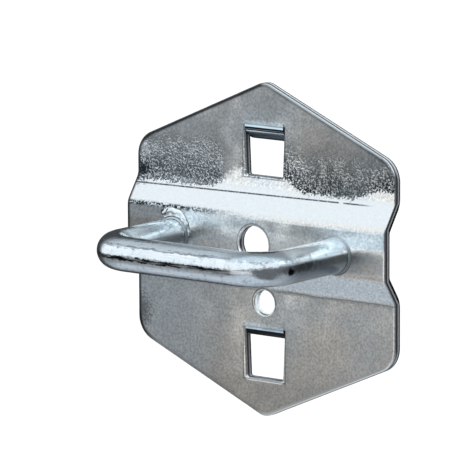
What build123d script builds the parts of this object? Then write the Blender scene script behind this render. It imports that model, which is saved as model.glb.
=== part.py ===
from build123d import *
import math
import os

# U hook for a square-hole panel: a pressed plate with two hanging tabs, and a bent wire U
# that is resistance-welded onto the plate's rib.
# Millimetres. +X is right, +Z is up and the front faces -Y. The origin is the middle of the
# plate's back plane, which bears on the panel.

# Sheet
sheet_t = 1.5

# Tabs lanced out of the plate and bent back, each from its own window
tab_w = 8.2
tab_l = 8.95
tab_taper = 0.4         # what a tab loses on each side, from root to tip
tab_tip_r = 0.35
tab_pitch = 35.2
tabs_z = -0.35          # middle of the stretch that the two windows take up
lance_gap = 0.1         # sheared away along each side of a tab
lance_corner_r = 0.4    # window's corners beside a tab's root
claw_bend_r = 2.9
peg_bend_r = 1.75

# Six-sided blank
plate_w = 55.5
apex_land = 7.15        # from a window out to the apex beyond it, taking both windows together
side_drop = 12.1        # from an apex down to its side corners
side_corner_r = 4.5
apex_r = 3.0

# Round holes on the centre line
rib_hole_d = 6.3
rib_hole_drop = 0.65    # below the middle of the rib
lock_hole_d = 4.3
lock_land = 2.2         # from the lower tab's root up to the hole

# Rib pressed forward across the plate, measured at the middle of the sheet's thickness
rib_upper_land = 2.2    # from the upper window down to the rib's foot
rib_lower_land = 0.65   # from the lock hole up to the rib's other foot
rib_rise = 3.0
rib_top_h = 8.3
rib_foot_r = 2.75
rib_top_r = 1.75

# Rolls that the dies leave along the front of each cut
edge_roll_r = 0.3
hole_roll_r = 0.25
window_roll_r = 0.6

# Wire
wire_d = 6.0
arm_pitch = 35.0
hook_depth = 23.0       # from the front of the rib to the front of the bar
wire_bend_r = 6.0
wire_drop = 0.8         # below the middle of the rib
weld_r = 0.45           # hollow collar that the weld leaves round each end
weld_sink = 0.4         # how far the weld's metal follows the rib where its flat falls away

# How close counts as lying on a face
touching = 0.001

# Derived places
front_y = -sheet_t
rib_front_y = front_y - rib_rise
upper_root_z = tabs_z + (tab_pitch + tab_l) / 2
lower_root_z = upper_root_z - tab_pitch
apex_z = (tab_pitch + tab_l) / 2 + apex_land
side_corner_z = apex_z - side_drop
lock_hole_z = lower_root_z + lock_land + lock_hole_d / 2
rib_upper_z = upper_root_z - tab_l - rib_upper_land
rib_lower_z = lock_hole_z + lock_hole_d / 2 + rib_lower_land
rib_z = (rib_upper_z + rib_lower_z) / 2
rib_hole_z = rib_z - rib_hole_drop
wire_z = rib_z - wire_drop


def outline(points, radii):
    """Closed face on the XZ plane through points, each corner rounded to its radius."""
    return Plane.XZ * make_face(FilletPolyline(*points, radius=radii, close=True))


def through(face):
    """The face as a prism that passes right through the plate, rib and tabs."""
    return extrude(face, plate_w, both=True)


def ribbed_sheet():
    """Endless sheet with the rib pressed into it."""
    flat_y = -sheet_t / 2
    crest_y = flat_y - rib_rise
    line = FilletPolyline(
        (flat_y, -plate_w),
        (flat_y, rib_lower_z),
        (crest_y, rib_z - rib_top_h / 2),
        (crest_y, rib_z + rib_top_h / 2),
        (flat_y, rib_upper_z),
        (flat_y, plate_w),
        radius=[rib_foot_r, rib_top_r, rib_top_r, rib_foot_r],
    )
    return extrude(Plane.YZ * trace(line, sheet_t), plate_w, both=True)


def blank():
    """Six-sided blank with two apexes and four side corners."""
    half = plate_w / 2
    points = [
        (0, apex_z),
        (half, side_corner_z),
        (half, -side_corner_z),
        (0, -apex_z),
        (-half, -side_corner_z),
        (-half, side_corner_z),
    ]
    radii = [apex_r, side_corner_r, side_corner_r, apex_r, side_corner_r, side_corner_r]
    return through(outline(points, radii))


def front_edges(plate, y, low, high, reach):
    """Edges on the front skin at depth y, from height low to high, within reach of the centre line."""
    on_skin = plate.edges().filter_by_position(Axis.Y, y - touching, y + touching)
    level = on_skin.filter_by_position(Axis.Z, low - touching, high + touching)
    return level.filter_by_position(Axis.X, -reach, reach)


def front_outline(plate):
    """Edges that bound the front skin of a plate that has no openings yet."""
    skin = [face for face in plate.faces() if face.normal_at().Y < -touching]
    edges = [edge for face in skin for edge in face.edges()]
    return ShapeList(edge for edge in edges if sum(edge.is_same(other) for other in edges) == 1)


def drilled(plate, d, z, mouth_y):
    """The plate with a round hole on the centre line, its mouth rolled by the punch."""
    plate -= through(Plane.XZ * Pos(0, z) * Circle(d / 2))
    return fillet(front_edges(plate, mouth_y, z - d, z + d, d), hole_roll_r)


def window(root_z):
    """Prism of the opening that a tab leaves below its root."""
    root = tab_w / 2 + lance_gap
    tip = root - tab_taper
    foot_z = root_z - tab_l
    points = [(-root, root_z), (root, root_z), (tip, foot_z), (-tip, foot_z)]
    return through(outline(points, [lance_corner_r, lance_corner_r, tab_tip_r, tab_tip_r]))


def tab(root_z, bend_r, turn):
    """Tab that turns back out of the plate by turn degrees and narrows to a round-cornered tip.

    bend_r is the radius of the bend's outer side. What the bend doesn't use up of the tab's
    length stays straight. Above the root the tab runs up through the roll of the window's rim.
    """
    middle_r = bend_r - sheet_t / 2
    lead = Line((-sheet_t / 2, root_z + window_roll_r), (-sheet_t / 2, root_z))
    bend = JernArc(lead @ 1, lead % 1, middle_r, turn)
    straight = tab_l - math.radians(turn) * middle_r
    rest = Line(bend @ 1, bend @ 1 + (bend % 1) * straight)
    strip = extrude(Plane.YZ * trace(lead + bend + rest, sheet_t), tab_w, both=True)
    back_y = strip.bounding_box().max.Y
    root = tab_w / 2
    tip = root - tab_taper
    plan = make_face(Polyline((-root, front_y), (root, front_y), (tip, back_y), (-tip, back_y), close=True))
    strip &= extrude(plan, plate_w, both=True)
    end = strip.faces().sort_by_distance((0, (rest @ 1).X, (rest @ 1).Y))[0]
    corners = end.edges().filter_by(lambda edge: edge.length < tab_w / 2)
    return fillet(corners, tab_tip_r)


def lanced(plate, root_z, bend_r, turn):
    """The plate with a window, its rim rolled, and the tab that is bent back out of it."""
    plate -= window(root_z)
    rim = front_edges(plate, front_y, root_z - tab_l, root_z, tab_w)
    return fillet(rim, window_roll_r) + tab(root_z, bend_r, turn)


def back_plate():
    """Plate with its rib, its two holes and its two tabs, as one piece of sheet."""
    plate = ribbed_sheet() & blank()
    plate = fillet(front_outline(plate), edge_roll_r)
    plate = drilled(plate, rib_hole_d, rib_hole_z, rib_front_y)
    plate = drilled(plate, lock_hole_d, lock_hole_z, front_y)
    # The upper tab is a claw that hooks up behind the panel, and the lower one a straight peg
    plate = lanced(plate, upper_root_z, claw_bend_r, 180)
    return lanced(plate, lower_root_z, peg_bend_r, 90)


def collar(x):
    """Metal that the weld squeezes out round the wire's end, hollow towards the corner."""
    inner = wire_d / 2
    outer = inner + weld_r
    profile = make_face(
        Polyline((inner, weld_r), (0, weld_r), (0, -weld_sink), (outer, -weld_sink), (outer, 0))
        + TangentArc((outer, 0), (inner, weld_r), tangent=(-1, 0))
    )
    ring = revolve(Plane.XZ * profile, Axis.Z)
    return Pos(x, rib_front_y, wire_z) * Rot(90, 0, 0) * ring


def u_wire(plate):
    """Wire U whose ends are welded square onto the front of the plate's rib."""
    bar_y = rib_front_y - hook_depth + wire_d / 2
    seat_y = rib_front_y + weld_sink
    half = arm_pitch / 2
    line = FilletPolyline(
        (-half, seat_y, wire_z),
        (-half, bar_y, wire_z),
        (half, bar_y, wire_z),
        (half, seat_y, wire_z),
        radius=wire_bend_r,
    )
    section = Plane(line @ 0, z_dir=line % 0) * Circle(wire_d / 2)
    return sweep(section, line) + collar(-half) + collar(half) - plate


os.makedirs("parts", exist_ok=True)
plate = back_plate()
for name, solid in {"back_plate": plate, "u_wire": u_wire(plate)}.items():
    export_step(solid, f"parts/{name}.step")
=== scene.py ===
import logging
import math
from dataclasses import dataclass, field
from enum import Enum

import bmesh
import bpy
from mathutils import Matrix, Vector, noise


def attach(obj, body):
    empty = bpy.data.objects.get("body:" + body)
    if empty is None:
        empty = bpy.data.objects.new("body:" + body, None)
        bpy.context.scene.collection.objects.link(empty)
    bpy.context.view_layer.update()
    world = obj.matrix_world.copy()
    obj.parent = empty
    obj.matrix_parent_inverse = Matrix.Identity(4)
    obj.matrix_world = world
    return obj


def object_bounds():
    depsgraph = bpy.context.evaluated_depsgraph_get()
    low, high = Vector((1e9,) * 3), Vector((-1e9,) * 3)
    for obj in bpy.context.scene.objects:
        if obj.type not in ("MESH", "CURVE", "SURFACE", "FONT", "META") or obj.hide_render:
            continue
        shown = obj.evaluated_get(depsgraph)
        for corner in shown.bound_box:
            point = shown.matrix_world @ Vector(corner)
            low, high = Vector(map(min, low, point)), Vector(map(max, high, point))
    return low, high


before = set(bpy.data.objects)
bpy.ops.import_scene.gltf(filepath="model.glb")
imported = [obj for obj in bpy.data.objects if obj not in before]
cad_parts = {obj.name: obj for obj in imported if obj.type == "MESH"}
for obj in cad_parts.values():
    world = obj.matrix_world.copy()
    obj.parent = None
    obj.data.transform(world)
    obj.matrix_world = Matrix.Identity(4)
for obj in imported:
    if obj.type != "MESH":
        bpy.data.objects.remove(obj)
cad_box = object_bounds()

log = logging.getLogger("u_hook")

Node = bpy.types.Node
Socket = bpy.types.NodeSocket
Tree = bpy.types.NodeTree
# What a node's input takes: a node for its first output in use, a certain output, a value or a hex colour
Source = Node | Socket | float | tuple | str

MM = 0.001
# Noise seldom leaves this range
NOISE = (0.3, 0.7)
# The ranges of a map range that turns a mask round
TURN_ROUND = (0.0, 1.0, 1.0, 0.0)

# Kinds of nodes with their settings
TIMES = ("Math", {"operation": "MULTIPLY"})
OVER = ("Math", {"operation": "DIVIDE"})
PLUS = ("Math", {"operation": "ADD"})
MINUS = ("Math", {"operation": "SUBTRACT"})
TIMES_PLUS = ("Math", {"operation": "MULTIPLY_ADD"})
TO_POWER = ("Math", {"operation": "POWER"})
SIZE_OF = ("Math", {"operation": "ABSOLUTE"})
SMALLER = ("Math", {"operation": "MINIMUM"})
SMOOTH_SMALLER = ("Math", {"operation": "SMOOTH_MIN"})
LARGER = ("Math", {"operation": "MAXIMUM"})
ALL_PLUS = ("VectorMath", {"operation": "ADD"})
ALL_TIMES = ("VectorMath", {"operation": "MULTIPLY"})
SCALED = ("VectorMath", {"operation": "SCALE"})
ALONG = ("VectorMath", {"operation": "DOT_PRODUCT"})
DISTANCE = ("VectorMath", {"operation": "DISTANCE"})
UNIT_LONG = ("VectorMath", {"operation": "NORMALIZE"})
RANGE = ("MapRange", {"interpolation_type": "LINEAR"})
OPEN_RANGE = ("MapRange", {"interpolation_type": "LINEAR", "clamp": False})
SMOOTH = ("MapRange", {"interpolation_type": "SMOOTHSTEP"})
MIX = ("Mix", {"data_type": "FLOAT"})
MIX_COLOUR = ("Mix", {"data_type": "RGBA"})
MIX_VECTOR = ("Mix", {"data_type": "VECTOR"})


class Slot(Enum):
    """The record's material slots."""

    SHEET = "zinc_sheet"
    WIRE = "zinc_wire"


def linear(hex_colour: str) -> tuple[float, float, float, float]:
    """Turn an sRGB hex colour to linear light.

    Args:
        hex_colour: Six hex digits, red first.

    Returns:
        Red, green, blue and an alpha of 1.
    """
    toe, slope, offset, power = 0.04045, 12.92, 0.055, 2.4
    values = [int(hex_colour[k:k + 2], 16) / 255 for k in (0, 2, 4)]
    return tuple(v / slope if v <= toe else ((v + offset) / (1 + offset)) ** power for v in values) + (1.0,)


def add_node(tree: Tree, kind: str | tuple[str, dict], *ordered: Source, **named: Source) -> Node:
    """Add a shader node with its settings and links.

    Args:
        tree: The node tree that gets the node.
        kind: The node's type without ShaderNode in front, alone or with values of its properties.
        *ordered: What its inputs in use take, in their order. A map range takes the value, the
            range that it comes from and the range that it turns to, and a mix takes its share first.
        **named: The same by input name, with _ for a space.

    Returns:
        The new node.
    """
    name, settings = (kind, {}) if isinstance(kind, str) else kind
    node = tree.nodes.new("ShaderNode" + name)
    for setting, value in settings.items():
        setattr(node, setting, value)
    in_use = [socket for socket in node.inputs if socket.enabled]
    by_name = [(node.inputs[name.replace("_", " ")], source) for name, source in named.items()]
    for socket, source in list(zip(in_use, ordered)) + by_name:
        if isinstance(source, Node):
            source = next(output for output in source.outputs if output.enabled)
        if isinstance(source, Socket):
            tree.links.new(source, socket)
        else:
            socket.default_value = linear(source) if isinstance(source, str) else source
    return node


def fill_ramp(ramp: Node, stops: list[tuple[float, tuple | str]]) -> Node:
    """Set a colour ramp's stops.

    Args:
        ramp: The colour ramp node.
        stops: Position of each stop and its linear or hex colour, in rising order.

    Returns:
        The same node.
    """
    elements = ramp.color_ramp.elements
    while len(elements) < len(stops):
        elements.new(1.0)
    for element, (position, colour) in zip(elements, stops):
        element.position = position
        element.color = linear(colour) if isinstance(colour, str) else colour
    return ramp


def band(tree: Tree, value: Source, middle: Source, half: float, soft: float) -> Node:
    """Mask of a band: 1 where value is within half of middle, 0 from half + soft on.

    Args:
        tree: The node tree.
        value: What is compared.
        middle: Middle of the band.
        half: Half of the band's full width.
        soft: Width of the soft edge.

    Returns:
        The last node of the mask.
    """
    off = add_node(tree, MINUS, value, middle)
    away = add_node(tree, SIZE_OF, off)
    return add_node(tree, SMOOTH, away, half + soft, half)


def all_of(tree: Tree, mask: Source, *others: Source) -> Source:
    """Mask of where several masks meet, each of which may be a plain share.

    Args:
        tree: The node tree.
        mask: The first mask.
        *others: The other masks.

    Returns:
        The last node of the mask.
    """
    for other in others:
        mask = add_node(tree, TIMES, mask, other)
    return mask


def raised(tree: Tree, value: Source, *steps: tuple[Source, Source]) -> Source:
    """Raise a value step by step.

    Args:
        tree: The node tree.
        value: The value to start from.
        *steps: Mask and amount of each step.

    Returns:
        The last node of the sum.
    """
    for mask, amount in steps:
        value = add_node(tree, TIMES_PLUS, mask, amount, value)
    return value


def painted(tree: Tree, colour: Source, *layers: tuple[Source, Source]) -> Source:
    """Lay colours over a colour.

    Args:
        tree: The node tree.
        colour: The colour to start from.
        *layers: Mask and colour of each layer, from the bottom up.

    Returns:
        The last node of the colour.
    """
    for mask, layer in layers:
        colour = add_node(tree, MIX_COLOUR, mask, colour, layer)
    return colour


@dataclass(frozen=True)
class PlateSizes:
    """Sizes of the pressed plate, in millimetres, that its finish follows."""

    sheet_t: float = 1.5
    half_width: float = 27.75
    side_drop: float = 12.1
    apex: float = 29.225
    # Heights of the upper and the lower tab's root
    roots: tuple[float, float] = (21.725, -13.475)
    # Both windows: middle of their stretch, from there to each one's middle, and half a window
    windows_z: float = -0.35
    window_off: float = 17.6
    window_half: float = 4.2
    window_half_high: float = 4.475
    # Height and radius of each hole
    rib_hole: tuple[float, float] = (1.475, 3.15)
    lock_hole: tuple[float, float] = (-9.125, 2.15)
    # Corners of the rib on the plate's front skin, from the top down
    rib_rise: float = 3.0
    upper_foot: float = 10.81
    upper_shoulder: float = 6.51
    lower_shoulder: float = -2.26
    lower_foot: float = -6.56


@dataclass(frozen=True)
class Site:
    """Where a finish is: the place on the part in millimetres, and which way the surface faces."""

    tree: Tree
    place: Node
    x: Socket
    y: Socket
    z: Socket
    facing: Socket
    facing_x: Socket
    facing_y: Socket
    facing_z: Socket

    @classmethod
    def survey(cls, tree: Tree) -> "Site":
        """Add the nodes that read the place and the facing.

        Args:
            tree: The material's nodes.

        Returns:
            The site.
        """
        coords = add_node(tree, "TexCoord").outputs["Object"]
        place = add_node(tree, SCALED, coords, 1 / MM)
        axes = add_node(tree, "SeparateXYZ", place)
        facing = add_node(tree, "NewGeometry").outputs["Normal"]
        ways = add_node(tree, "SeparateXYZ", facing)
        return cls(tree, place, *axes.outputs, facing, *ways.outputs)

    def from_axis(self, x: float, z: float) -> Node:
        """Distance from a line that runs from front to back.

        Args:
            x: The line's place across, in millimetres.
            z: The line's height, in millimetres.

        Returns:
            The distance, in millimetres.
        """
        flat = add_node(self.tree, "CombineXYZ", X=self.x, Z=self.z)
        return add_node(self.tree, DISTANCE, flat, (x, 0, z))

    def leaning_up(self, lean: Source) -> Node:
        """Turn the facing upwards.

        Args:
            lean: How far, as a share of the facing's length.

        Returns:
            The new facing, one unit long.
        """
        up = add_node(self.tree, "CombineXYZ", Z=lean)
        leaning = add_node(self.tree, ALL_PLUS, self.facing, up)
        return add_node(self.tree, UNIT_LONG, leaning)


def new_material(name: str) -> tuple[bpy.types.Material, Tree]:
    """Start a material with no nodes.

    Args:
        name: The material's name.

    Returns:
        The material and its node tree.
    """
    material = bpy.data.materials.new(name)
    material.use_nodes = True
    material.node_tree.nodes.clear()
    return material, material.node_tree


def end_metal(tree: Tree, colour: Source, rough: Source, **relief: Source) -> None:
    """Add the shader and the output of a metal with relief.

    Args:
        tree: The material's nodes.
        colour: Its colour.
        rough: Its roughness.
        **relief: Height in millimetres, and Normal where the facing is changed.
    """
    bump = add_node(tree, "Bump", Strength=1.0, Distance=MM, **relief)
    shader = add_node(tree, "BsdfPrincipled", Base_Color=colour, Metallic=1.0, Roughness=rough, Normal=bump)
    add_node(tree, "OutputMaterial", Surface=shader)


@dataclass(frozen=True)
class Skin:
    """What the parts of the sheet's finish share, each a node."""

    site: Site
    # Slow, fine and sharp noise
    clouds: Node
    grain: Node
    flecks: Node
    # Masks of the front skin, the rib's flat, the band below its upper shoulder, and above the tabs' roots
    front: Node
    on_rib: Node
    below_shoulder: Node
    above_roots: Node
    # Distance from the middle plane
    aside: Node
    # Height above the line where the skin turns up into the rib, and how far the skin is stretched there
    over: Node
    stretched: Node


@dataclass(frozen=True)
class ZincPlatedSheet:
    """Bright zinc plating on pressed cold-rolled sheet.

    To the eye it is a satin bluish-grey metal with a fine grain. Above the rib the press has
    stretched the skin, so it is wavy there and breaks the light up into dark and white flecks.
    Where the dies have cut, a dark burnished band and a pale torn band run round the wall.
    Numbers in the methods are places on the plate in millimetres, levels of noise, and shares.
    """

    sizes: PlateSizes = PlateSizes()
    cool: str = "BFC8CE"
    warm: str = "CDC9C3"
    # Colour of the painted dark reflection flecks and the painted shade patches
    fleck_shade: str = "2A3035"
    # Colour of the painted shade lines: a fine groove at the rib's feet, and dark reflections along rolled
    # edges
    shade_line: str = "34373A"
    burnished: str = "7C8090"
    # Colour of the painted highlight above the tabs' roots and in the band below the rib's upper shoulder at
    # the right
    pale_highlight: str = "B6C1C8"
    hole_wall_white: str = "FAFAF8"
    # The pale colour of the cut walls' torn bands, also used for the painted highlight on the lower edge's
    # roll
    torn: str = "DADAD7"
    burr: str = "1C1E20"
    # Colour of the painted highlight band where each tab's bend starts
    bend_highlight: str = "BACBD6"
    roughness: float = 0.28
    # The real grain is near 0.02 mm, and 0.4 mm is the finest that shows at this distance
    grain_mm: float = 0.4
    fleck_mm: float = 0.36
    cloud_mm: float = 16.0
    patch_mm: float = 4.0
    tuft_mm: float = 2.2
    wave_mm: float = 9.0
    # How far a painted dark reflection line lies from a window and from a hole
    window_rim: float = 0.2
    hole_rim: float = 0.25
    # Middle, reach and share of the painted shade patches at the left edge, above and below the rib
    shade_patches: tuple[tuple[tuple[float, float, float], float, float], ...] = (
        ((-26.6, -1.5, 11.6), 6.4, 1.0), ((-28.0, -1.5, -13.2), 7.4, 0.6),
    )

    def build(self) -> bpy.types.Material:
        """Make the material.

        Returns:
            The material, with its colour, roughness and relief from nodes.
        """
        material, tree = new_material("bright_zinc_on_pressed_sheet")
        skin = self._survey(tree)
        wall = self._wall(skin.site)
        depth = self._depth(skin.site)
        in_lock_hole = self._in_lock_hole(skin.site)
        colour = painted(
            tree, self._skin_colour(skin), (wall, self._cut_colour(skin, depth)), (in_lock_hole, self.hole_wall_white),
        )
        torn = add_node(tree, SMOOTH, depth, 0.43, 0.52)
        cut_rough = add_node(tree, RANGE, torn, 0.0, 1.0, 0.16, 0.6)
        rough = add_node(tree, MIX, wall, self.roughness, cut_rough)
        facing = skin.site.leaning_up(
            raised(tree, all_of(tree, self._lean(skin), skin.front), (in_lock_hole, 0.9)),
        )
        end_metal(tree, colour, rough, Height=self._height(skin), Normal=facing)
        return material

    def _survey(self, tree: Tree) -> Skin:
        """Add the nodes that the parts of the finish share.

        Args:
            tree: The material's nodes.

        Returns:
            The shared nodes.
        """
        site = Site.survey(tree)
        clouds = add_node(tree, "TexNoise", Vector=site.place, Scale=1 / self.cloud_mm, Detail=3.0)
        grain = add_node(tree, "TexNoise", Vector=site.place, Scale=1 / self.grain_mm, Detail=2.0)
        flecks = add_node(
            tree, "TexNoise", Vector=site.place, Scale=1 / self.fleck_mm, Detail=1.5, Roughness=0.6,
        )
        front = add_node(tree, SMOOTH, site.facing_y, -0.45, -0.75)
        aside = add_node(tree, SIZE_OF, site.x)
        on_rib = band(tree, site.z, 0.9, 2.2, 1.4)
        below_shoulder = band(tree, site.z, 4.6, 1.2, 0.7)
        above_roots = self._above_roots(site)
        over = self._over_foot(site, clouds, flecks)
        stretched = self._stretched(site, over, clouds, front)
        return Skin(
            site, clouds, grain, flecks, front, on_rib, below_shoulder, above_roots, aside, over, stretched,
        )

    def _over_foot(self, site: Site, clouds: Node, flecks: Node) -> Node:
        """Height above the line where the skin turns up into the rib.

        The line lies low along the plate's left, rises under the window and again near the right end.

        Args:
            site: Where the finish is.
            clouds: Slow noise that makes the line uneven.
            flecks: Noise that frays it.

        Returns:
            The height, in millimetres, below 0 on the rib's side.
        """
        tree = site.tree
        line = add_node(tree, RANGE, site.x, -15.0, 5.0, 10.35, 10.8)
        left = add_node(tree, SMOOTH, site.x, -12.0, -4.2)
        right = add_node(tree, SMOOTH, site.x, 9.0, 3.5)
        under = add_node(tree, SMALLER, left, right)
        end = add_node(tree, SMOOTH, site.x, 18.0, 25.0, 0.0, 1.9)
        whole = add_node(tree, PLUS, raised(tree, line, (under, 2.2)), end)
        frayed = raised(tree, whole, (clouds, 0.8), (flecks, 3.0))
        # What the noises add in the mean
        level = add_node(tree, MINUS, frayed, 1.9)
        return add_node(tree, MINUS, site.z, level)

    def _stretched(self, site: Site, over: Node, clouds: Node, front: Node) -> Source:
        """How far the press has stretched the front skin above the rib, from 0 to 1.

        Args:
            site: Where the finish is.
            over: Height above the line where the skin turns up.
            clouds: Slow noise that makes the zone uneven.
            front: 1 on the front skin.

        Returns:
            The share.
        """
        tree = site.tree
        fade = add_node(tree, SMOOTH, over, 10.0, 0.5)
        foot = add_node(tree, SMOOTH, over, -0.25, 0.25)
        calm = add_node(tree, RANGE, band(tree, site.x, -6.6, 0.8, 3.2), *TURN_ROUND)
        uneven = add_node(tree, RANGE, clouds, 0.3, 0.55, 0.5)
        return all_of(tree, fade, foot, calm, uneven, front)

    def _painted_brightness(self, skin: Skin) -> Node:
        """Painted light and shade, as a factor on the skin's colour: darker at the rib's left, near the top,
        beside the window and at the bottom, brighter elsewhere on the rib and low on the right.

        Args:
            skin: The shared nodes.

        Returns:
            The share, near 1.
        """
        site, tree = skin.site, skin.site.tree
        across = add_node(tree, RANGE, site.x, -23.0, -4.0, 0.72, 1.65)
        share = add_node(tree, MIX, skin.on_rib, 1.0, across)
        top = add_node(tree, SMOOTH, site.z, 19.0, 25.0, 0.0, 0.1)
        share = add_node(tree, MINUS, share, top)
        foot = add_node(tree, SMOOTH, skin.over, -0.5, 0.5)
        above = add_node(tree, SMOOTH, skin.over, 15.0, 6.0)
        beside = add_node(tree, SMOOTH, skin.aside, 5.0, 12.0, 0.0, -0.2)
        below = add_node(tree, SMOOTH, site.z, -6.0, -9.0)
        right = add_node(tree, SMOOTH, site.x, 0.0, 18.0, 0.1, 0.26)
        share = raised(tree, share, (all_of(tree, above, foot), beside), (below, right))
        bottom = add_node(tree, SMOOTH, site.z, -18.0, -26.0, 0.0, 0.22)
        return add_node(tree, MINUS, share, bottom)

    def _tint(self, skin: Skin) -> Source:
        """Colour of the clean skin, cool to warm by clouds and zones, with its grain, a painted brightness
        factor and painted highlights.

        Args:
            skin: The shared nodes.

        Returns:
            The colour.
        """
        site, tree = skin.site, skin.site.tree
        steep = add_node(tree, SIZE_OF, site.facing_z)
        sloped = add_node(tree, RANGE, steep, 0.3, 0.5)
        tone = add_node(tree, RANGE, skin.clouds, *NOISE, 0.0, 0.8)
        bottom = add_node(tree, SMOOTH, site.z, -9.0, -20.0, 0.0, 0.4)
        tone = add_node(tree, PLUS, tone, bottom)
        left = add_node(tree, RANGE, site.x, -16.0, -6.0, 0.4, 1.2)
        right = add_node(tree, RANGE, site.x, 5.0, 12.0, 0.0, 0.12)
        tone = add_node(tree, PLUS, all_of(tree, tone, left), right)
        tone = add_node(tree, LARGER, tone, all_of(tree, skin.on_rib, 0.7))
        tone = add_node(tree, MIX, sloped, tone, 0.35)
        tint = add_node(tree, MIX_COLOUR, tone, self.cool, self.warm)
        # Painted light and shade: the colour is made brighter or darker by place
        tint = add_node(tree, ALL_TIMES, tint, self._painted_brightness(skin))
        # Painted highlight just above the tabs' roots and in the band below the rib's upper shoulder at the
        # right
        pale_highlight = all_of(tree, skin.above_roots, skin.front, 0.7)
        right = add_node(tree, SMOOTH, site.x, 8.0, 18.0, 0.0, 0.9)
        shoulder = all_of(tree, skin.below_shoulder, right)
        tint = painted(tree, tint, (add_node(tree, LARGER, pale_highlight, shoulder), self.pale_highlight))
        speckle = add_node(tree, RANGE, skin.grain, *NOISE, 0.76, 1.24)
        turned_up = add_node(tree, RANGE, site.facing_z, 0.15, 0.4, 0.0, 0.8)
        speckle = add_node(tree, MIX, turned_up, speckle, 1.0)
        return add_node(tree, ALL_TIMES, tint, speckle)

    def _painted_dark_flecks(self, skin: Skin) -> Node:
        """Mask of painted dark reflection flecks on the stretched skin and along the rib's upper shoulder,
        and of painted shade patches at the left edge.

        Args:
            skin: The shared nodes.

        Returns:
            The mask.
        """
        site, tree = skin.site, skin.site.tree
        dark_flecks = add_node(tree, RANGE, skin.flecks, 0.58, 0.48)
        shade_mask = all_of(tree, dark_flecks, skin.stretched)
        for place, reach, share in self.shade_patches:
            away = add_node(tree, DISTANCE, site.place, place)
            away = raised(tree, away, (skin.flecks, 7.0))
            shade_patch = add_node(tree, SMOOTH, away, reach, reach - 2.2, 0.0, share)
            shade_mask = add_node(tree, LARGER, shade_mask, all_of(tree, shade_patch, skin.front))
        shoulder = band(tree, site.z, self.sizes.upper_shoulder - 0.2, 0.15, 0.5)
        left = add_node(tree, SMOOTH, site.x, 0.0, -16.0)
        shoulder = all_of(tree, shoulder, skin.front, left, dark_flecks)
        return add_node(tree, LARGER, shade_mask, shoulder)

    def _skin_colour(self, skin: Skin) -> Source:
        """Colour of the plated skin, with painted dark reflection flecks and shade patches, painted shade
        lines, a painted highlight on the lower edge and painted reflections on the tab bends.

        Args:
            skin: The shared nodes.

        Returns:
            The colour.
        """
        site, tree = skin.site, skin.site.tree
        from_outline = self._from_outline(skin)
        # Painted highlight on the roll along the lower edge, most to the right of the lower apex, in the pale
        # torn colour
        edge_highlight = add_node(tree, SMOOTH, from_outline, 0.7, 0.5)
        below = add_node(tree, SMOOTH, site.z, -16.0, -19.0)
        side = add_node(tree, RANGE, site.x, -2.0, 0.0, 0.2, 1.0)
        edge_highlight = all_of(tree, edge_highlight, below, side)
        colour = painted(
            tree, self._tint(skin), (self._painted_dark_flecks(skin), self.fleck_shade), (self._groove_shade_line(skin), self.shade_line),
            (self._edge_reflection_lines(skin, from_outline), self.shade_line), (edge_highlight, self.torn),
        )
        return self._painted_bend_reflections(site, colour)

    def _groove_shade_line(self, skin: Skin) -> Node:
        """Mask of the painted shade line of a fine groove just below the rib's upper foot, and a fainter
        painted shade line at its lower foot.

        Args:
            skin: The shared nodes.

        Returns:
            The mask.
        """
        site, tree = skin.site, skin.site.tree
        height = add_node(tree, OPEN_RANGE, site.x, -27.0, 25.0, 9.5, 10.05)
        line = band(tree, site.z, height, 0.05, 0.13)
        end = add_node(tree, SMOOTH, site.x, 24.3, 20.0)
        whole = add_node(tree, RANGE, band(tree, site.x, 16.9, 0.35, 0.2), *TURN_ROUND)
        uneven = add_node(tree, RANGE, skin.flecks, 0.35, 0.5, 0.6, 1.0)
        waver = add_node(tree, "TexNoise", Vector=site.place, Scale=1 / self.cloud_mm, Detail=4.0)
        waver = raised(tree, self.sizes.lower_foot - 1.3, (waver, 2.0))
        lower = band(tree, site.z, waver, 0.04, 0.12)
        right = add_node(tree, SMOOTH, site.x, 1.0, 5.0, 0.0, 0.4)
        return add_node(tree, LARGER, all_of(tree, line, end, whole, uneven), all_of(tree, lower, right))

    def _painted_bend_reflections(self, site: Site, colour: Source) -> Source:
        """Paint reflections and shade on the tabs' bends inside their windows: a pale highlight band, then
        dark and light reflection lines.

        Args:
            site: Where the finish is.
            colour: Colour of the skin.

        Returns:
            The colour with the bends.
        """
        tree, sizes = site.tree, self.sizes
        inside = band(tree, site.x, 0.0, sizes.window_half - 0.1, 0.05)
        away = add_node(tree, SIZE_OF, site.facing_x)
        level = add_node(tree, RANGE, away, 0.7, 0.4)
        ahead = add_node(tree, SMOOTH, site.y, 2.2, 0.4)
        within = all_of(tree, inside, level, ahead)
        # How far each bend reaches down, and its painted highlight, reflection lines and shade
        bends = (
            (3.1, [
                (0.0, self.bend_highlight), (0.16, self.bend_highlight), (0.19, "15181B"), (0.27, "15181B"), (0.3, "80868B"),
                (0.33, "1A1D20"), (0.37, "1A1D20"), (0.41, "E6DEDE"), (0.46, "5F6A72"), (0.78, "505B63"),
                (0.93, "20262A"),
            ]),
            (1.9, [
                (0.0, self.bend_highlight), (0.26, self.bend_highlight), (0.32, "101214"), (0.75, "17191C"), (1.0, "2A2E31"),
            ]),
        )
        for root, (drop, stops) in zip(sizes.roots, bends):
            below = add_node(tree, MINUS, root, site.z)
            share = add_node(tree, OVER, below, drop)
            lines = fill_ramp(add_node(tree, "ValToRGB", share), stops)
            near = band(tree, below, drop / 2, drop / 2 + 0.02, 0.02)
            colour = painted(tree, colour, (all_of(tree, within, near), lines))
        return colour

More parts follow.
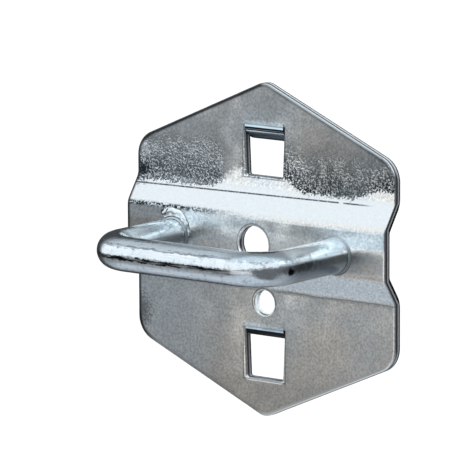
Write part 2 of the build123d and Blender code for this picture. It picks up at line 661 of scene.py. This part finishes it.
    def _from_outline(self, skin: Skin) -> Node:
        """Distance in from the blank's outline, with its corners rounded off.

        Args:
            skin: The shared nodes.

        Returns:
            The distance, in millimetres.
        """
        site, tree, sizes = skin.site, skin.site.tree, self.sizes
        fall = math.hypot(sizes.half_width, sizes.side_drop)
        up = add_node(tree, SIZE_OF, site.z)
        height = all_of(tree, raised(tree, sizes.apex, (up, -1.0)), sizes.half_width / fall)
        side = all_of(tree, site.x, sizes.side_drop / fall)
        one = add_node(tree, MINUS, height, side)
        other = add_node(tree, PLUS, height, side)
        roof = add_node(tree, SMOOTH_SMALLER, one, other, 1.5)
        flank = raised(tree, sizes.half_width, (skin.aside, -1.0))
        return add_node(tree, SMOOTH_SMALLER, roof, flank, 4.4)

    def _from_openings(self, skin: Skin) -> Node:
        """Distance out from the rolled rims of the windows and holes.

        Args:
            skin: The shared nodes.

        Returns:
            The distance, in millimetres.
        """
        site, tree, sizes = skin.site, skin.site.tree, self.sizes
        beside = add_node(tree, MINUS, skin.aside, sizes.window_half)
        local = add_node(tree, PLUS, site.z, -sizes.windows_z)
        # Folded twice, so that one window's upper half stands for all
        for fold in (sizes.window_off, sizes.window_half_high):
            folded = add_node(tree, SIZE_OF, local)
            local = add_node(tree, MINUS, folded, fold)
        nearest = add_node(tree, LARGER, beside, local)
        nearest = add_node(tree, MINUS, nearest, self.window_rim)
        for height, radius in (sizes.rib_hole, sizes.lock_hole):
            out = add_node(tree, MINUS, site.from_axis(0, height), radius + self.hole_rim)
            nearest = add_node(tree, SMALLER, nearest, out)
        return nearest

    def _edge_reflection_lines(self, skin: Skin, from_outline: Node) -> Source:
        """Mask of the painted dark reflection lines that run along the skin's rolled edges.

        They are strong along the left of the outline, weak along its upper right and lower left,
        missing along its lower right, and thin round the openings.

        Args:
            skin: The shared nodes.
            from_outline: Distance in from the outline.

        Returns:
            The mask.
        """
        site, tree = skin.site, skin.site.tree
        outline = add_node(tree, SMOOTH, raised(tree, from_outline, (skin.grain, -0.3)), 0.7, 0.2)
        left = add_node(tree, SMOOTH, site.x, 1.0, -1.0)
        low = add_node(tree, SMOOTH, site.z, -17.0, -19.0, 1.0, 0.4)
        high = add_node(tree, SMOOTH, site.z, 15.0, 18.0, 0.0, 0.5)
        share = add_node(tree, LARGER, all_of(tree, low, left), high)
        rim = band(tree, self._from_openings(skin), 0.14, 0.05, 0.1)
        near_roots = add_node(
            tree, LARGER, *(band(tree, site.z, root + 1.5, 1.45, 0.1) for root in self.sizes.roots),
        )
        clear = add_node(tree, RANGE, near_roots, 0.0, 1.0, 0.6, 0.0)
        lines = add_node(tree, LARGER, all_of(tree, outline, share), all_of(tree, rim, clear))
        facing = add_node(tree, RANGE, site.facing_y, -0.05, -0.2)
        return all_of(tree, lines, facing)

    def _wall(self, site: Site) -> Source:
        """Mask of the walls that the dies have cut, which all stand square to the sheet.

        The tabs' faces behind the plate also stand so, but face neither left nor right.

        Args:
            site: Where the finish is.

        Returns:
            The mask.
        """
        tree = site.tree
        across = add_node(tree, SIZE_OF, site.facing_y)
        square = add_node(tree, RANGE, across, 0.45, 0.2)
        away = add_node(tree, SIZE_OF, site.facing_x)
        level = add_node(tree, RANGE, away, 0.5, 0.2)
        behind = add_node(tree, RANGE, site.y, 0.0, 0.1)
        other = add_node(tree, RANGE, all_of(tree, level, behind), *TURN_ROUND)
        return all_of(tree, square, other)

    def _depth(self, site: Site) -> Node:
        """How deep in the sheet a point of a cut wall lies: 0 at the front skin, 1 at the back.

        Args:
            site: Where the finish is.

        Returns:
            The share of the sheet's thickness.
        """
        tree, sizes = site.tree, self.sizes
        slopes = ((sizes.upper_foot, sizes.upper_shoulder), (sizes.lower_foot, sizes.lower_shoulder))
        rise = add_node(
            tree, SMALLER,
            *(add_node(tree, RANGE, site.z, *slope, 0.0, sizes.rib_rise) for slope in slopes),
        )
        from_flat = add_node(tree, PLUS, site.y, rise)
        return add_node(tree, RANGE, from_flat, -sizes.sheet_t, 0.1)

    def _cut_colour(self, skin: Skin, depth: Node) -> Node:
        """Colour of a cut wall: torn, burnished and torn again, then the burr at the back.

        Args:
            skin: The shared nodes.
            depth: How deep in the sheet the point lies.

        Returns:
            The ramp node.
        """
        tree = skin.site.tree
        uneven = raised(tree, depth, (skin.grain, 0.12))
        return fill_ramp(add_node(tree, "ValToRGB", uneven), [
            (0.0, self.torn), (0.24, self.torn), (0.3, self.burnished), (0.55, self.burnished),
            (0.6, self.torn), (0.78, self.torn), (0.84, self.burr),
        ])

    def _in_lock_hole(self, site: Site) -> Source:
        """Mask of the wall of the small lock hole, which gets a near-white colour.

        Args:
            site: Where the finish is.

        Returns:
            The mask.
        """
        height, radius = self.sizes.lock_hole
        out = site.from_axis(0, height)
        near = add_node(site.tree, RANGE, out, radius + 0.2, radius + 0.1)
        across = add_node(site.tree, SIZE_OF, site.facing_y)
        square = add_node(site.tree, RANGE, across, 0.6, 0.3)
        return all_of(site.tree, near, square)

    def _above_roots(self, site: Site) -> Source:
        """Mask of the skin just above the tabs' roots, which the bending pulls up.

        Args:
            site: Where the finish is.

        Returns:
            The mask.
        """
        tree, masks = site.tree, []
        for root in self.sizes.roots:
            rise = add_node(tree, SMOOTH, site.z, root + 1.0, root + 0.3)
            above = add_node(tree, RANGE, site.z, root - 0.7, root - 0.55)
            masks.append(all_of(tree, rise, above))
        both = add_node(tree, PLUS, *masks)
        return all_of(tree, both, band(tree, site.x, 0.0, self.sizes.window_half, 0.6))

    def _lean(self, skin: Skin) -> Source:
        """How far the skin leans up where the press has drawn it out of flat.

        It leans up into the rib, down where it is stretched above it, and up a little round the tabs'
        roots and below the right end of the rib's upper shoulder. Elsewhere it waves slowly.

        Args:
            skin: The shared nodes.

        Returns:
            The lean, as a share of the facing's length.
        """
        site, tree, sizes = skin.site, skin.site.tree, self.sizes
        soft = add_node(tree, RANGE, band(tree, site.x, -1.5, 7.0, 6.0), 0.0, 1.0, 0.5, 1.6)
        turned = add_node(tree, SMOOTH, skin.over, soft, -0.3, 0.0, 0.22)
        above_foot = add_node(tree, RANGE, site.z, sizes.upper_foot - 1.5, sizes.upper_foot)
        flat = add_node(tree, SMOOTH, site.facing_y, -0.94, -0.99)
        dim = add_node(tree, SMOOTH, skin.over, 14.0, 4.0)
        beside = add_node(tree, SMOOTH, skin.aside, 5.0, 12.0, 0.0, -0.05)
        patches = add_node(tree, "TexNoise", Vector=site.place, Scale=1 / self.patch_mm, Detail=2.0)
        waves = [(add_node(tree, RANGE, ways, *NOISE, -0.03, 0.03), 1.0) for ways in (skin.clouds, patches)]
        turned = all_of(tree, turned, above_foot, flat)
        lean = raised(tree, turned, (skin.stretched, -0.08), (dim, beside), *waves)
        across_rib = add_node(tree, RANGE, site.x, -24.0, -8.0, -0.02, 0.02)
        right = add_node(tree, SMOOTH, site.x, 2.0, 9.0, 0.0, 0.035)
        across_rib = add_node(tree, PLUS, across_rib, right)
        foot = add_node(tree, RANGE, site.z, -27.0, -8.0, -0.016, 0.008)
        below = add_node(tree, SMOOTH, site.z, -15.0, -7.5, 0.0, 0.04)
        under = add_node(tree, SMOOTH, site.z, -5.0, -7.0)
        right = add_node(tree, SMOOTH, site.x, -3.0, 8.0)
        lean = raised(
            tree, lean, (band(tree, site.z, 2.1, 3.6, 1.0), across_rib), (foot, 1.0),
            (below, all_of(tree, right, under)),
        )
        for root in sizes.roots:
            bent = add_node(tree, SMOOTH, site.z, root, root - 0.5, 0.0, 0.3)
            near = add_node(tree, RANGE, site.z, root - 0.7, root - 0.6)
            across = band(tree, site.x, 0.0, sizes.window_half - 0.12, 0.02)
            lean = raised(tree, lean, (all_of(tree, bent, near), across))
        # A light patch at the left edge
        light = add_node(tree, DISTANCE, site.place, (-26.7, -1.5, 15.0))
        light = add_node(tree, SMOOTH, light, 2.2, 0.8, 0.0, 0.45)
        right = add_node(tree, SMOOTH, site.x, 8.0, 20.0, 0.0, 0.035)
        return raised(tree, lean, (skin.above_roots, 0.06), (light, 1.0), (skin.below_shoulder, right))

    def _height(self, skin: Skin) -> Source:
        """Height of the skin's relief.

        Args:
            skin: The shared nodes.

        Returns:
            The height, in millimetres.
        """
        site, tree = skin.site, skin.site.tree
        wave = add_node(tree, "TexNoise", Vector=site.place, Scale=1 / self.wave_mm, Detail=1.0)
        shoulder = band(tree, site.z, self.sizes.upper_shoulder - 0.1, 0.2, 0.7)
        left = add_node(tree, SMOOTH, site.x, 6.0, -18.0, 0.0, 0.6)
        wavy = add_node(tree, LARGER, skin.stretched, all_of(tree, shoulder, left))
        wavy = add_node(tree, TO_POWER, wavy, 1.7)
        tufts = add_node(tree, "TexNoise", Vector=site.place, Scale=1 / self.tuft_mm, Detail=2.0)
        uneven = add_node(tree, RANGE, tufts, 0.38, 0.62, 0.4, 1.6)
        depth = add_node(tree, SMOOTH, site.x, -8.0, 4.0, 0.42, 0.17)
        flecked = all_of(tree, skin.flecks, wavy, skin.front, uneven)
        return raised(tree, all_of(tree, skin.grain, 0.012), (flecked, depth), (wave, 0.05))


@dataclass(frozen=True)
class ZincPlatedWire:
    """Bright zinc plating on drawn round wire.

    To the eye it is a glossy bluish metal, with faint streaks along the wire from the drawing die
    and a few dull smudges.
    """

    bright: str = "C6CDD2"
    # Arm colours: a painted highlight on the upper side, painted shade below, darker painted shade on the
    # right arm
    white: str = "F0F8FC"
    shaded: str = "A6B0B7"
    dark: str = "727A80"
    bend_top_shade: str = "7F8589"
    dull: str = "8C9196"
    # Colour of the smudges and of the painted dark reflection lines along the bar
    smudge_and_dark_reflection: str = "1B1C1E"
    # Colours of the collar at each arm's root: painted shade below, painted highlight above
    weld: str = "8E9397"
    weld_highlight: str = "ABB4BA"
    roughness: float = 0.13
    # The die's lines are near 0.05 mm apart, and 0.3 mm is the finest that shows here
    streak_mm: float = 0.3
    streak_length_mm: float = 4.0
    dimple_mm: float = 1.1
    # Middle and radius of each smudge
    smudges: tuple[tuple[tuple[float, float, float], float], ...] = (
        ((17.45, -27.2, 1.6), 0.5), ((-15.2, -26.0, 0.9), 0.45), ((20.3, -20.4, 0.9), 0.6),
    )
    weld_front: float = -4.98

    def build(self) -> bpy.types.Material:
        """Make the material.

        Returns:
            The material, with its colour, roughness and relief from nodes.
        """
        material, tree = new_material("bright_zinc_on_drawn_wire")
        site = Site.survey(tree)
        streaks = self._streaks(site)
        dimples = add_node(
            tree, "TexNoise", Vector=site.place, Scale=1 / self.dimple_mm, Detail=4.0, Roughness=0.65,
        )
        on_bar = add_node(tree, SMOOTH, site.y, -19.5, -22.5)
        welded = add_node(tree, SMOOTH, site.y, self.weld_front, self.weld_front + 0.12)
        # The collar at each arm's root: painted shade below, painted highlight above
        above = add_node(tree, SMOOTH, site.z, 0.5, 2.5)
        weld = add_node(tree, MIX_COLOUR, above, self.weld, self.weld_highlight)
        colour = painted(tree, self._colour(site, streaks, dimples, on_bar), (welded, weld))
        rough = add_node(tree, RANGE, dimples, 0.45, 0.7, self.roughness, self.roughness + 0.14)
        rough = add_node(tree, MIX, welded, rough, 0.4)
        # The weld's metal lies flat on the rib
        laid, pressed = all_of(tree, welded, 0.8), self._pressed(site, on_bar)
        facing = add_node(tree, MIX_VECTOR, laid, pressed, (0, -1, 0))
        facing = add_node(tree, UNIT_LONG, facing)
        height = raised(tree, all_of(tree, streaks, 0.02), (dimples, 0.045))
        end_metal(tree, colour, rough, Height=height, Normal=facing)
        return material

    def _colour(self, site: Site, streaks: Node, dimples: Node, on_bar: Node) -> Source:
        """Colour of the plating, with dull spots, painted highlight and shade on the arms, painted dark
        reflection lines along the bar, painted shade on the right bend's top, and smudges.

        Args:
            site: Where the finish is.
            streaks: Noise drawn out along the wire.
            dimples: Noise of the dull spots.
            on_bar: 1 on the U's bar.

        Returns:
            The colour.
        """
        tree = site.tree
        # Painted highlight on the arms' upper side and painted shade below it, darker on the right arm
        above = add_node(tree, SMOOTH, site.facing_z, 0.2, 0.36)
        right = add_node(tree, RANGE, site.x, -5.0, 5.0)
        arm = painted(tree, self.shaded, (right, self.dark), (above, self.white))
        on_arm = add_node(tree, SMOOTH, site.y, -22.5, -17.5)
        worn = add_node(tree, RANGE, dimples, 0.56, 0.68, 0.0, 0.55)
        colour = painted(tree, self.bright, (on_arm, arm), (worn, self.dull))
        shaded = add_node(tree, RANGE, streaks, 0.35, 0.65, 0.92, 1.06)
        colour = add_node(tree, ALL_TIMES, colour, shaded)
        before_bend = add_node(tree, SMOOTH, site.x, 15.0, 9.0)
        scratched = add_node(tree, RANGE, streaks, 0.62, 0.48, 0.25)
        # Painted dark reflection lines, one below the bar's highlight and a finer one above it
        ragged = raised(tree, site.facing_z, (dimples, 0.4))
        for middle, half, soft, share in ((0.14, 0.09, 0.06, 1.0), (0.82, 0.03, 0.06, 0.6)):
            line = band(tree, ragged, middle, half, soft)
            line = all_of(tree, line, scratched, share, on_bar, before_bend)
            colour = painted(tree, colour, (line, self.smudge_and_dark_reflection))
        # Painted shade on the top of the right bend
        bend = add_node(tree, SMOOTH, site.x, 9.0, 15.0)
        ahead = add_node(tree, SMOOTH, site.y, -18.0, -21.0)
        top = raised(tree, site.facing_z, (dimples, 0.5))
        top = add_node(tree, SMOOTH, top, 0.72, 0.86, 0.0, 0.9)
        colour = painted(tree, colour, (all_of(tree, bend, ahead, top), self.bend_top_shade))
        for place, radius in self.smudges:
            away = add_node(tree, DISTANCE, site.place, place)
            uneven = raised(tree, away, (dimples, 1.6))
            smudged = add_node(tree, SMOOTH, uneven, radius + 1.1, radius + 0.6)
            colour = painted(tree, colour, (smudged, self.smudge_and_dark_reflection))
        return colour

    def _pressed(self, site: Site, on_bar: Node) -> Node:
        """Which way the wire faces, with the slight flat that the bending tool leaves along the bar's top.

        Args:
            site: Where the finish is.
            on_bar: 1 on the U's bar.

        Returns:
            The facing, one unit long.
        """
        top = band(site.tree, site.facing_z, 0.79, 0.18, 0.03)
        ahead = add_node(site.tree, RANGE, site.facing_y, 0.1, -0.1, 0.0, 0.55)
        return site.leaning_up(all_of(site.tree, top, ahead, on_bar))

    def _streaks(self, site: Site) -> Node:
        """Noise drawn out along the wire: along X on the bar and along Y on the arms.

        Args:
            site: Where the finish is.

        Returns:
            The noise.
        """
        tree = site.tree
        along, across = 1 / self.streak_length_mm, 1 / self.streak_mm
        ways = []
        for stretch in ((along, across, across), (across, along, across)):
            drawn = add_node(tree, ALL_TIMES, site.place, stretch)
            ways.append(add_node(tree, "TexNoise", Vector=drawn, Scale=1.0, Detail=2.0))
        on_arm = add_node(tree, SMOOTH, site.y, -24.5, -20.5)
        return add_node(tree, MIX, on_arm, *ways)


@dataclass(frozen=True)
class ZincOverWeld:
    """Bright zinc plating over the crinkled metal that the weld squeezed out.

    To the eye it is a bright, wrinkled silver rim with dark pitting, and painted shade in its joint to the
    wire and along its foot on the rib.
    """

    bright: str = "C2C8CC"
    pitted_and_shade: str = "2C2F31"
    roughness: float = 0.2
    wrinkle_mm: float = 1.2
    joint_r: float = 3.25
    middle: tuple[float, float] = (-17.5, 1.325)

    def build(self) -> bpy.types.Material:
        """Make the material.

        Returns:
            The material, with its colour, roughness and relief from nodes.
        """
        material, tree = new_material("bright_zinc_over_weld_flash")
        site = Site.survey(tree)
        wrinkles = add_node(
            tree, "TexNoise", Vector=site.place, Scale=1 / self.wrinkle_mm, Detail=3.0, Distortion=0.8,
        )
        out = site.from_axis(*self.middle)
        joint = add_node(tree, SMOOTH, out, self.joint_r + 0.15, self.joint_r)
        left = add_node(tree, SMOOTH, site.x, -17.6, -20.0, 0.0, 0.2)
        pits_and_shade = add_node(tree, SMOOTH, add_node(tree, MINUS, wrinkles, left), 0.38, 0.3)
        foot = add_node(tree, SMOOTH, site.y, -4.64, -4.52, 0.0, 0.6)
        # Painted shade in the joint to the wire and along the foot on the rib, laid over the dark pits
        for dark in (joint, foot):
            pits_and_shade = add_node(tree, LARGER, pits_and_shade, dark)
        rough = add_node(tree, RANGE, wrinkles, 0.6, 0.3, self.roughness, 0.6)
        colour = painted(tree, self.bright, (pits_and_shade, self.pitted_and_shade))
        end_metal(tree, colour, rough, Height=all_of(tree, wrinkles, 0.1))
        return material


@dataclass
class PlatedPart:
    """A part whose solid comes from the frame, and gets its finish here."""

    node: str
    slot: Slot
    finish: ZincPlatedSheet | ZincPlatedWire

    def dress(self) -> None:
        """Give the part its plating."""
        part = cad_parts[self.node].data
        part.materials.clear()
        part.materials.append(self.finish.build())
        log.info("%s: %d faces, dressed as %s", self.node, len(part.polygons), self.slot.value)


@dataclass
class BackPlate(PlatedPart):
    """The pressed plate."""

    node: str = "back_plate"
    slot: Slot = Slot.SHEET
    finish: ZincPlatedSheet = field(default_factory=ZincPlatedSheet)


@dataclass
class WireHook(PlatedPart):
    """The bent wire U."""

    node: str = "u_wire"
    slot: Slot = Slot.WIRE
    finish: ZincPlatedWire = field(default_factory=ZincPlatedWire)


@dataclass
class WeldFlash:
    """Crinkled metal that the weld squeezed out over the left arm's root.

    It lies on the rib as a crescent round the wire, widest at its upper left end. Sizes are in
    millimetres, and angles run from the right, upwards.
    """

    name: str = "weld_flash"
    middle_x: float = -17.5
    skin_y: float = -4.5
    middle_z: float = 1.325
    inner_r: float = 3.12
    outer_r: float = 5.0
    narrow_outer_r: float = 3.65
    crest: float = 0.5
    sunk: float = 0.12
    start_deg: float = 4.0
    end_deg: float = 122.0
    segments: int = 20
    steps: int = 72
    shoulder_z: float = 5.6
    slope: float = 0.5
    finish: ZincOverWeld = field(default_factory=ZincOverWeld)

    def build(self) -> bpy.types.Object:
        """Make the flash and put it on the rib.

        Returns:
            The new piece.
        """
        mesh = bmesh.new()
        self._sweep_ring(mesh)
        for vertex in mesh.verts:
            vertex.co = self._crinkled(vertex.co) * MM
        bmesh.ops.recalc_face_normals(mesh, faces=mesh.faces)
        for face in mesh.faces:
            face.smooth = True
        data = bpy.data.meshes.new(self.name)
        mesh.to_mesh(data)
        mesh.free()
        piece = bpy.data.objects.new(self.name, data)
        bpy.context.scene.collection.objects.link(piece)
        piece.data.materials.append(self.finish.build())
        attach(piece, "root")
        log.info("%s: %d faces", self.name, len(data.polygons))
        return piece

    def _sweep_ring(self, mesh: bmesh.types.BMesh) -> None:
        """Sweep a flattened round section about the wire's middle line, as a closed solid.

        Args:
            mesh: Gets the ring, in millimetres.
        """
        half = (self.outer_r - self.inner_r) / 2
        middle = Vector((self.middle_x, self.skin_y, self.middle_z))
        section = bmesh.ops.create_circle(mesh, cap_ends=True, segments=self.segments, radius=1.0)["verts"]
        bmesh.ops.scale(mesh, vec=(half, self.crest, 1.0), verts=section)
        bmesh.ops.translate(
            mesh, vec=(self.middle_x + self.inner_r + half, self.skin_y, self.middle_z), verts=section,
        )
        bmesh.ops.rotate(
            mesh, cent=middle, matrix=Matrix.Rotation(-math.radians(self.start_deg), 3, "Y"), verts=section,
        )
        bmesh.ops.spin(
            mesh, geom=mesh.verts[:] + mesh.edges[:] + mesh.faces[:], cent=middle, axis=(0, 1, 0),
            angle=-math.radians(self.end_deg - self.start_deg), steps=self.steps, use_merge=False,
        )
        bmesh.ops.remove_doubles(mesh, verts=mesh.verts, dist=0.001)

    def _crinkled(self, place: Vector) -> Vector:
        """Where a point of the plain ring goes: narrowed towards the right, crinkled, and laid on the rib.

        Args:
            place: The point, in millimetres.

        Returns:
            The new place, in millimetres.
        """
        across, up = place.x - self.middle_x, place.z - self.middle_z
        turn = math.atan2(up, across)
        share = (math.degrees(turn) - self.start_deg) / (self.end_deg - self.start_deg)
        outer = self.narrow_outer_r + (self.outer_r - self.narrow_outer_r) * min(1.0, share * 1.4)
        outer += 0.25 * noise.noise(Vector((turn * 3.0, 0.0, 3.0)))
        out = (math.hypot(across, up) - self.inner_r) / (self.outer_r - self.inner_r)
        radius = self.inner_r + out * (outer - self.inner_r)
        height = self.skin_y - place.y
        swell = 1.0 + 0.4 * noise.noise(Vector((turn * 4.0, radius * 0.8, 1.0)))
        swell *= min(1.0, 0.35 + (outer - self.inner_r) / 1.6)
        height = height * swell - self.sunk
        z = self.middle_z + radius * math.sin(turn)
        fall = max(0.0, z - self.shoulder_z) ** 2 * self.slope
        return Vector((self.middle_x + radius * math.cos(turn), self.skin_y - height + fall, z))


@dataclass
class Studio:
    """Pale floor, soft light and the camera at the photograph's viewing angle."""

    floor_drop: float = 45 * MM
    floor_radius: float = 6.0
    floor_segments: int = 96
    fibre_mm: float = 3.0
    azimuth_deg: float = 37.9229
    elevation_deg: float = 9.6263
    roll_deg: float = -0.196
    distance: float = 891.975 * MM
    pixels_per_mm: float = 5.8357
    frame_pixels: int = 470
    sensor_mm: float = 36.0
    tent_slope: float = 0.2366
    # Linear light of the tent by height, ahead of the object and behind it
    ahead: tuple[tuple[float, tuple[float, float, float]], ...] = (
        (-1.0, (0.8, 0.87, 0.95)), (-0.7, (0.85, 0.93, 1.02)), (-0.57, (0.8, 0.86, 0.93)),
        (-0.44, (0.5, 0.52, 0.54)), (-0.28, (0.36, 0.37, 0.38)), (0.07, (0.3, 0.31, 0.32)),
        (0.14, (1.42, 1.48, 1.52)), (1.0, (1.5, 1.58, 1.64)),
    )
    behind: tuple[tuple[float, tuple[float, float, float]], ...] = (
        (-1.0, (0.6, 0.66, 0.72)), (-0.5, (0.45, 0.48, 0.52)), (-0.28, (0.12, 0.125, 0.13)),
        (0.15, (0.12, 0.125, 0.13)), (0.35, (0.6, 0.66, 0.72)), (0.8, (0.85, 0.93, 1.0)),
    )
    card: tuple[float, ...] = (1.1, 1.12, 1.13, 1)
    low_right: tuple[float, ...] = (0.2, 0.21, 0.22, 1)
    lamp: tuple[float, ...] = (2.2, 2.55, 2.75, 1)
    beyond: tuple[float, ...] = (0.06, 0.065, 0.07, 1)
    # Where the front of the plate's middle stands in the photograph, from the photograph's centre
    aim: Vector = field(default_factory=lambda: Vector((0, -1.5, 0)) * MM)
    aim_right_pixels: float = 29.05
    aim_down_pixels: float = 15.464

    def towards_camera(self) -> Vector:
        """Direction from the object to the camera.

        Returns:
            The direction, one unit long.
        """
        azimuth, elevation = math.radians(self.azimuth_deg), math.radians(self.elevation_deg)
        level = math.cos(elevation)
        return Vector((math.sin(azimuth) * level, -math.cos(azimuth) * level, math.sin(elevation)))

    def build_floor(self) -> None:
        """Lay the floor below the object."""
        place = Matrix.Translation((0, 0, cad_box[0].z - self.floor_drop))
        mesh = bmesh.new()
        bmesh.ops.create_circle(
            mesh, cap_ends=True, segments=self.floor_segments, radius=self.floor_radius, matrix=place,
        )
        data = bpy.data.meshes.new("studio_floor")
        mesh.to_mesh(data)
        mesh.free()
        floor = bpy.data.objects.new("studio_floor", data)
        bpy.context.scene.collection.objects.link(floor)
        material, tree = new_material("matt_white_paper")
        site = Site.survey(tree)
        fibre = add_node(tree, "TexNoise", Vector=site.place, Scale=1 / self.fibre_mm, Detail=3.0)
        tone = add_node(tree, MIX_COLOUR, fibre, "FAFAFA", "F6F6F7")
        shader = add_node(tree, "BsdfPrincipled", Base_Color=tone, Roughness=0.9, Specular_IOR_Level=0.1)
        add_node(tree, "OutputMaterial", Surface=shader)
        data.materials.append(material)
        floor.visible_glossy = False

    def build_room(self) -> None:
        """Light the room: a white tent above, whose lower edge slopes up to the right, and dim below it."""
        world = bpy.data.worlds.new("soft_tent")
        bpy.context.scene.world = world
        world.use_nodes = True
        tree = world.node_tree
        tree.nodes.clear()
        direction = add_node(tree, "TexCoord").outputs["Generated"]
        x, y, z = add_node(tree, "SeparateXYZ", direction).outputs
        ahead = self._heights(tree, raised(tree, z, (x, -self.tent_slope)), self.ahead)
        # A small card beside the camera, which rolled edges that turn to the right pick up
        card = all_of(tree, band(tree, x, 0.03, 0.34, 0.08), band(tree, z, -0.19, 0.15, 0.05))
        right = add_node(tree, SMOOTH, x, 0.4, 0.5)
        low = add_node(tree, SMOOTH, z, 0.25, 0.15)
        behind = add_node(tree, SMOOTH, y, -0.15, 0.2)
        # The lamp overhead and its wing behind
        wing = add_node(tree, SMOOTH, z, 0.45, 0.6)
        wing = all_of(tree, wing, band(tree, x, 0.35, 0.7, 0.15), band(tree, y, 0.25, 0.12, 0.15))
        lamp = add_node(tree, LARGER, add_node(tree, SMOOTH, z, 0.82, 0.89), wing)
        # Dark beyond the object, which gives thin dark outlines where its surfaces turn away
        away = add_node(tree, ALONG, direction, -self.towards_camera())
        beyond = add_node(tree, SMOOTH, away, 0.62, 0.84)
        room = painted(
            tree, ahead, (card, self.card), (all_of(tree, right, low), self.low_right),
            (behind, self._heights(tree, z, self.behind)), (lamp, self.lamp), (beyond, self.beyond),
        )
        tent = add_node(tree, "Background", Color=room, Strength=1.0)
        even = add_node(tree, "Background", Color=(1, 1, 1, 1), Strength=1.15)
        mirrored = add_node(tree, "LightPath").outputs["Is Glossy Ray"]
        add_node(tree, "OutputWorld", Surface=add_node(tree, "MixShader", mirrored, even, tent))

    def _heights(self, tree: Tree, level: Source, stops: tuple[tuple, ...]) -> Node:
        """Add a ramp of light by height.

        Args:
            tree: The world's nodes.
            level: Height of the direction, from -1 to 1.
            stops: Height and linear red, green and blue of each stop, in rising order.

        Returns:
            The ramp.
        """
        share = add_node(tree, RANGE, level, -1.0, 1.0)
        ramp = add_node(tree, "ValToRGB", share)
        return fill_ramp(ramp, [((height + 1) / 2, tone + (1,)) for height, tone in stops])

    def build_camera(self) -> None:
        """Set the camera at the photograph's viewing angle."""
        back = self.towards_camera()
        azimuth = math.radians(self.azimuth_deg)
        right = Vector((math.cos(azimuth), math.sin(azimuth), 0))
        roll = Matrix.Rotation(math.radians(self.roll_deg), 3, back)
        right, up = roll @ right, roll @ back.cross(right)
        per_metre = self.pixels_per_mm / MM
        place = (
            self.aim + back * self.distance - right * (self.aim_right_pixels / per_metre)
            + up * (self.aim_down_pixels / per_metre)
        )
        data = bpy.data.cameras.new("photo_view")
        data.sensor_width = self.sensor_mm
        data.lens = self.pixels_per_mm * (self.distance / MM) / self.frame_pixels * self.sensor_mm
        data.clip_start = 0.01
        data.clip_end = 50.0
        camera = bpy.data.objects.new("photo_view", data)
        bpy.context.scene.collection.objects.link(camera)
        camera.matrix_world = Matrix.Translation(place) @ Matrix((right, up, back)).transposed().to_4x4()
        bpy.context.scene.camera = camera

    def build(self) -> None:
        """Build the whole studio."""
        self.build_floor()
        self.build_room()
        self.build_camera()
        bpy.context.scene.view_settings.view_transform = "Standard"
        log.info("studio ready")


def main() -> None:
    """Build and dress each sub-assembly in order, then the studio."""
    logging.basicConfig(level=logging.INFO, format="%(message)s")
    BackPlate().dress()
    WireHook().dress()
    WeldFlash().build()
    Studio().build()


if __name__ == "__main__":
    main()
